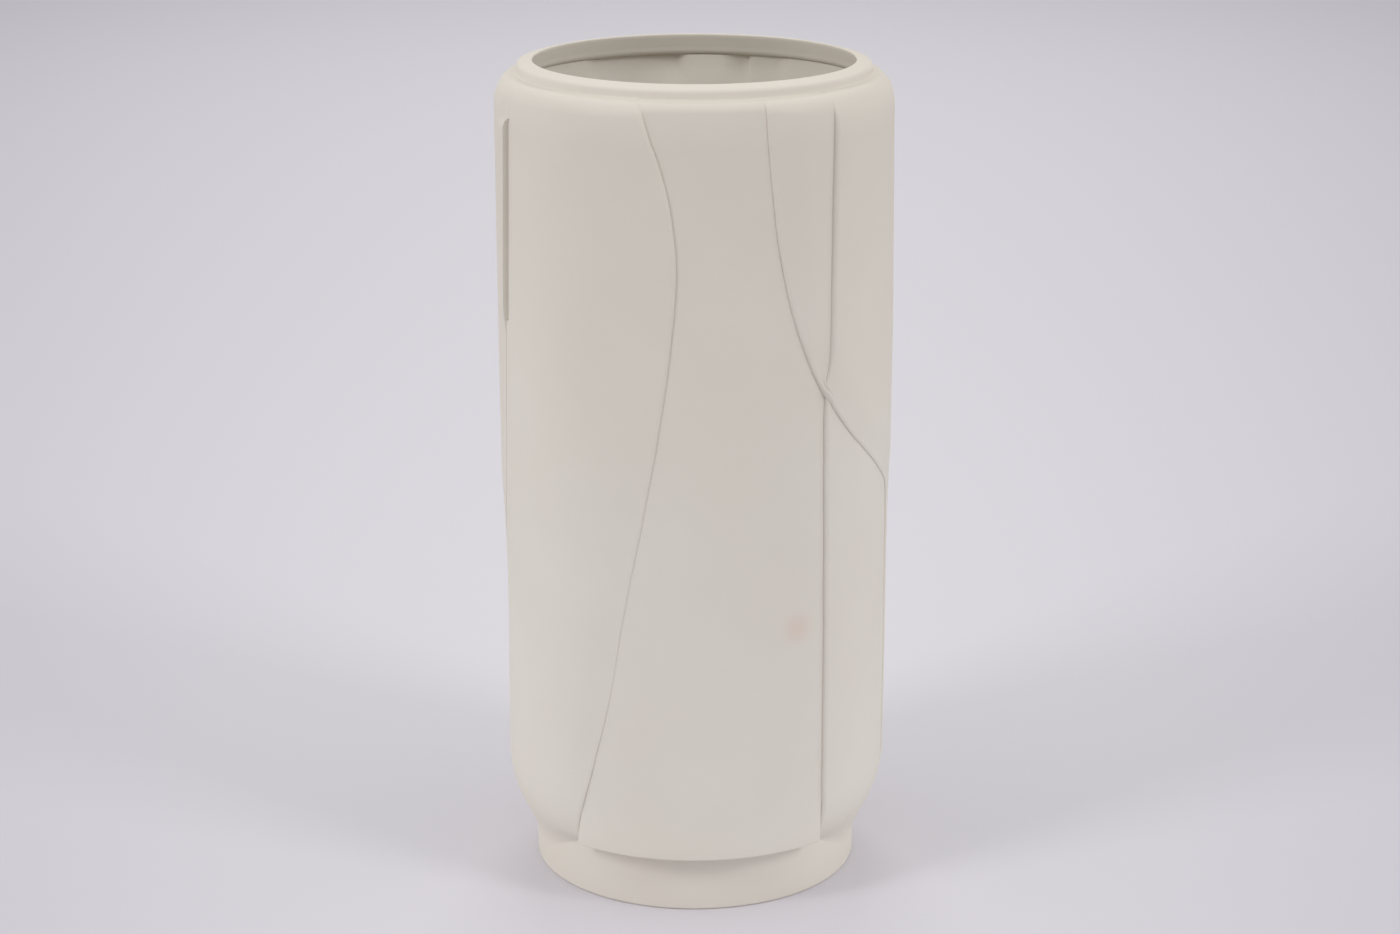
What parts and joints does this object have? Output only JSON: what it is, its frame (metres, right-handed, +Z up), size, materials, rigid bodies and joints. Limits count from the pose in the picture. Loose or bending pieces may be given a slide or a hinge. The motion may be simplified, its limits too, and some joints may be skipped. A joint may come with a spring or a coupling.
{
  "type": "ceramic vase",
  "caption": "Tall cylindrical vase in unglazed white porcelain, with thin lapped sheets in low relief round its wall, a stepped collar under a wide mouth, and a narrower foot.",
  "frame": {"origin": "centre of the flat face under the foot, on the vase's axis", "axes": "+Z up along the vase's axis, out of the mouth; -Y towards the bare front panel; +X to the right seen from the front"},
  "size_m": [0.1318, 0.1284, 0.28],
  "materials": {
    "porcelain_body": "unglazed, matte, very fine grain",
    "porcelain_sheet": "unglazed, matte, smoothed by hand",
    "porcelain_rim": "unglazed, matte, sponged smooth"
  },
  "bodies": {
    "root": {"foot_ring": "porcelain_rim", "floor_disc": "porcelain_body", "body_wall": "porcelain_body", "left_sheet": "porcelain_sheet", "right_sheet": "porcelain_sheet", "back_sheet": "porcelain_sheet", "shoulder_ring": "porcelain_rim", "neck_collar": "porcelain_rim", "lip_ring": "porcelain_rim"}
  },
  "joints": []
}
